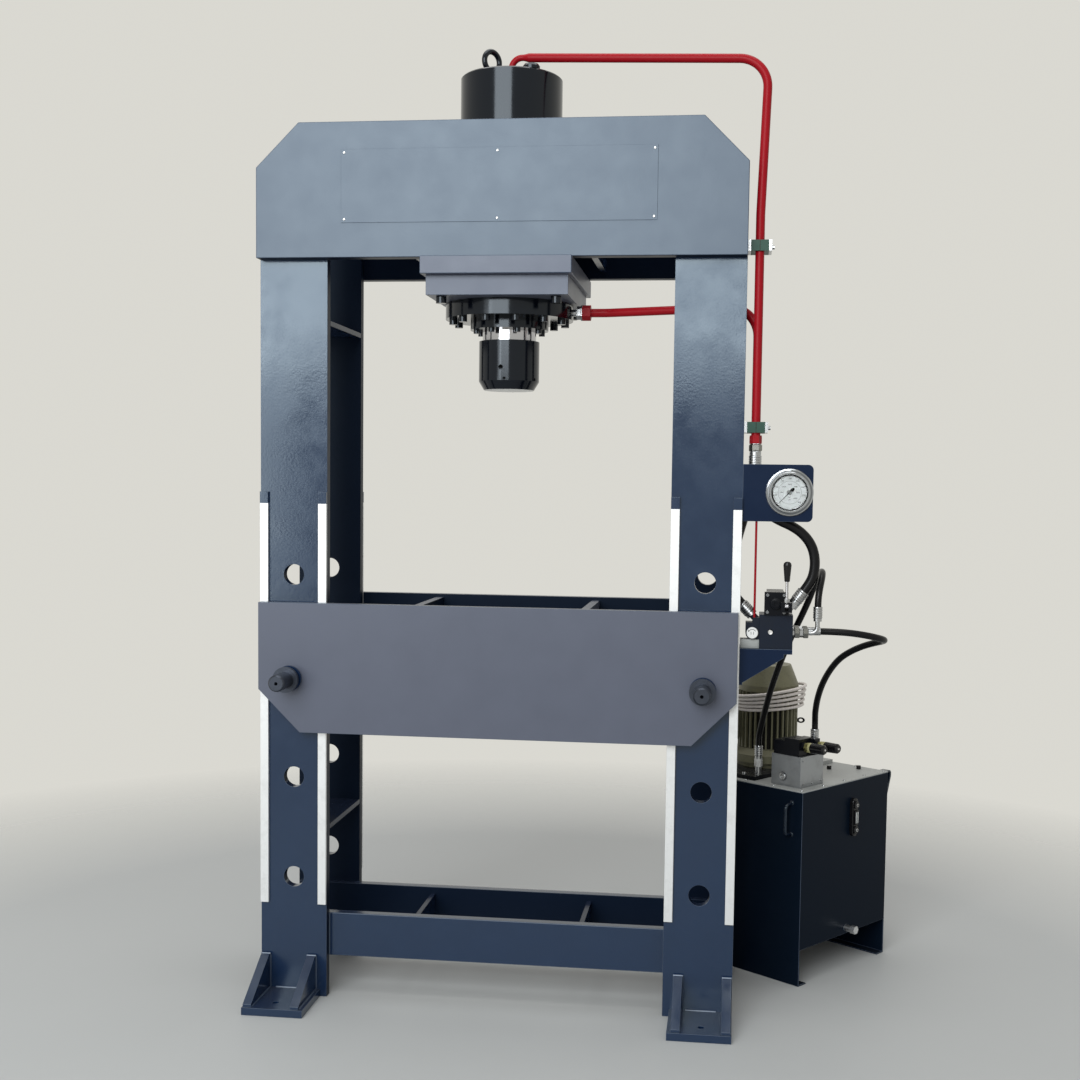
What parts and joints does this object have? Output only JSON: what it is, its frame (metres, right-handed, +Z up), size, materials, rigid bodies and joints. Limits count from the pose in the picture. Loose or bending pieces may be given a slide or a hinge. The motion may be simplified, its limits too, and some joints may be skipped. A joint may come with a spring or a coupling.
{
  "type": "hydraulic press",
  "caption": "Free-standing two-column hydraulic press with pinned height-set bolster, single overhead cylinder, side valve and gauge panel, and a separate motor-driven power unit on hoses.",
  "frame": {"origin": "on the floor, at the centre of the four floor-bolt holes", "axes": "+Z up along the ram axis's direction, +Y to the rear, +X to the right as seen from the front, where the gauge is"},
  "size_m": [1.9117, 1.138, 2.794],
  "materials": {
    "plate_paint": "semi-gloss blue-grey enamel with orange peel",
    "column_paint": "glossy dark blue enamel with brush marks",
    "black_paint": "glossy blue-black enamel",
    "tank_paint": "glossy dark blue enamel",
    "lid_paint": "light grey enamel",
    "bright_steel": "bare, rolled",
    "turned_steel": "oiled, turned",
    "rod_chrome": "hard chrome",
    "zinc": "zinc plated",
    "red_paint": "glossy red enamel",
    "clamp_green": "moulded",
    "hose_rubber": "smooth cover",
    "black_plastic": "moulded",
    "black_steel": "black oxide",
    "white_plastic": "moulded",
    "block_aluminium": "milled",
    "motor_paint": "grey-olive enamel on cast aluminium",
    "cable_cream": "soft sheath",
    "gauge_steel": "polished",
    "dial_white": "printed sheet",
    "gauge_glass": "clear"
  },
  "bodies": {
    "frame": {"crown_plates": "plate_paint", "upright_bars": "column_paint", "guide_rails": "bright_steel", "lower_beam_plates": "column_paint", "cross_plates": "column_paint", "nameplate": "plate_paint", "foot_brackets": "column_paint", "bolster": "plate_paint", "cylinder_mount_plate": "plate_paint", "cylinder_flange_plate": "plate_paint", "cylinder_barrel": "black_paint", "cylinder_cap": "black_paint", "cylinder_head_ring": "black_paint", "cylinder_gland": "black_paint", "cylinder_bolts": "black_steel", "eye_bolt": "black_paint", "upper_pipe": "red_paint", "lower_pipe": "red_paint", "pipe_fittings": "zinc", "clamp_halves": "clamp_green", "clamp_plates": "zinc", "gauge_panel": "column_paint", "gauge_case": "gauge_steel", "gauge_dial": "dial_white", "gauge_glass": "gauge_glass", "capillary_pipe": "red_paint", "valve_bracket": "column_paint", "valve_block": "black_steel", "lever_valve": "black_steel", "pressure_unit": "black_steel", "hose_upper": "hose_rubber", "hose_lower": "hose_rubber", "hose_pressure": "hose_rubber", "hose_return": "hose_rubber", "hose_fittings": "zinc", "tank_shell": "tank_paint", "tank_lid": "lid_paint", "pump_block": "block_aluminium", "block_valve": "black_steel", "level_gauge": "black_plastic", "tank_fittings": "black_steel", "motor_base_plate": "lid_paint", "bell_housing": "motor_paint", "motor_body": "motor_paint", "motor_cowl": "motor_paint", "terminal_box": "motor_paint", "gear_pump": "block_aluminium", "mains_coil": "cable_cream", "mains_lead": "cable_cream"},
    "ram": {"piston_rod": "rod_chrome", "ram_nose": "black_paint"},
    "left_pin": {"bolster_pin_left": "turned_steel"},
    "right_pin": {"bolster_pin_right": "turned_steel"},
    "lever": {"valve_lever": "rod_chrome", "lever_grip": "black_plastic"},
    "pointer": {"gauge_pointer": "black_plastic"},
    "setting_knob": {"pressure_knob": "white_plastic"},
    "inner_knob": {"cartridge_knob_inner": "black_plastic"},
    "outer_knob": {"cartridge_knob_outer": "black_plastic"},
    "rotor": {"motor_rotor": "turned_steel"}
  },
  "joints": [
    {"name": "ram_slide", "type": "slide", "parent": "frame", "child": "ram", "axis": [0, 0, -1], "range_m": [0, 0.35]},
    {"name": "left_pin_slide", "type": "slide", "parent": "frame", "child": "left_pin", "axis": [0, -1, 0], "range_m": [0, 0.52]},
    {"name": "right_pin_slide", "type": "slide", "parent": "frame", "child": "right_pin", "axis": [0, -1, 0], "range_m": [0, 0.52]},
    {"name": "lever_hinge", "type": "hinge", "parent": "frame", "child": "lever", "pos_m": [0.828, -0.172, 1.201], "axis": [1, 0, 0], "range_deg": [-15, 15], "stiffness_Nm_per_rad": 0.6},
    {"name": "pointer_hinge", "type": "hinge", "parent": "frame", "child": "pointer", "pos_m": [0.83, -0.15, 1.519], "axis": [0, 1, 0], "range_deg": [0, 270], "stiffness_Nm_per_rad": 0.02},
    {"name": "setting_knob_hinge", "type": "hinge", "parent": "frame", "child": "setting_knob", "pos_m": [0.735, -0.14, 1.122], "axis": [0, 1, 0], "continuous": true},
    {"name": "inner_knob_hinge", "type": "hinge", "parent": "frame", "child": "inner_knob", "pos_m": [0.91754, 0.22095, 0.733], "axis": [0.7889, -0.6145, 0], "continuous": true},
    {"name": "outer_knob_hinge", "type": "hinge", "parent": "frame", "child": "outer_knob", "pos_m": [0.96071, 0.25196, 0.733], "axis": [0.7889, -0.6145, 0], "continuous": true},
    {"name": "rotor_spin", "type": "hinge", "parent": "frame", "child": "rotor", "pos_m": [0.8021, 0.53652, 0.7], "axis": [0, 0, 1], "continuous": true}
  ]
}
